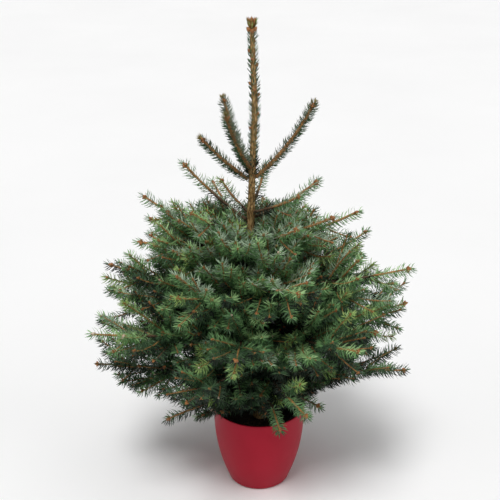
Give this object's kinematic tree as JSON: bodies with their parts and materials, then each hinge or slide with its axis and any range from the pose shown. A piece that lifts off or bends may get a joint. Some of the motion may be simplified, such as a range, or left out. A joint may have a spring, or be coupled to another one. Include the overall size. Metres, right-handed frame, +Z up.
{
  "type": "potted christmas tree",
  "caption": "Young blue spruce in a round pot: a bare leader over tiers of spreading limbs with needle-clad side shoots, a nursery pot with soil inside the outer pot.",
  "frame": {"origin": "middle of the outer pot's flat underside, on which the plant stands", "axes": "+Z up along the trunk; the viewer of the picture stands at -Y and looks along +Y, with +X to the right"},
  "size_m": [0.8403, 0.7206, 1.2832],
  "materials": {
    "pot": "satin",
    "nursery_pot": "gloss",
    "soil": "matte",
    "bark": "matte",
    "needles": "matte"
  },
  "bodies": {
    "root": {"pot": "pot", "nursery_pot": "nursery_pot", "soil": "soil", "trunk": "bark", "tier4_bough_1": "bark", "tier4_bough_2": "bark", "tier4_bough_3": "bark", "tier4_bough_4": "bark", "tier4_bough_5": "bark", "tier4_bough_6": "bark", "tier4_bough_7": "bark", "tier5_bough_1": "bark", "tier5_bough_2": "bark", "tier5_bough_3": "bark", "tier5_bough_4": "bark", "tier5_bough_5": "bark", "tier5_bough_6": "bark", "tier5_bough_7": "bark", "tier5_bough_8": "bark", "tier1_needles_1": "needles", "tier1_needles_2": "needles", "tier1_needles_3": "needles", "tier1_needles_4": "needles", "tier2_needles_1": "needles", "tier2_needles_2": "needles", "tier2_needles_3": "needles", "tier2_needles_4": "needles", "tier2_needles_5": "needles", "tier3_needles_1": "needles", "tier3_needles_2": "needles", "tier3_needles_3": "needles", "tier3_needles_4": "needles", "tier3_needles_5": "needles", "tier3_needles_6": "needles", "tier3_needles_7": "needles", "tier3_needles_8": "needles", "tier4_needles_1": "needles", "tier4_needles_2": "needles", "tier4_needles_3": "needles", "tier4_needles_4": "needles", "tier4_needles_5": "needles", "tier4_needles_6": "needles", "tier4_needles_7": "needles", "tier5_needles_1": "needles", "tier5_needles_2": "needles", "tier5_needles_3": "needles", "tier5_needles_4": "needles", "tier5_needles_5": "needles", "tier5_needles_6": "needles", "tier5_needles_7": "needles", "tier5_needles_8": "needles", "tier6_needles_1": "needles", "tier6_needles_2": "needles", "tier6_needles_3": "needles", "tier6_needles_4": "needles", "tier6_needles_5": "needles", "tier6_needles_6": "needles", "tier7_needles_1": "needles", "tier7_needles_2": "needles", "tier7_needles_3": "needles"}
  },
  "joints": []
}
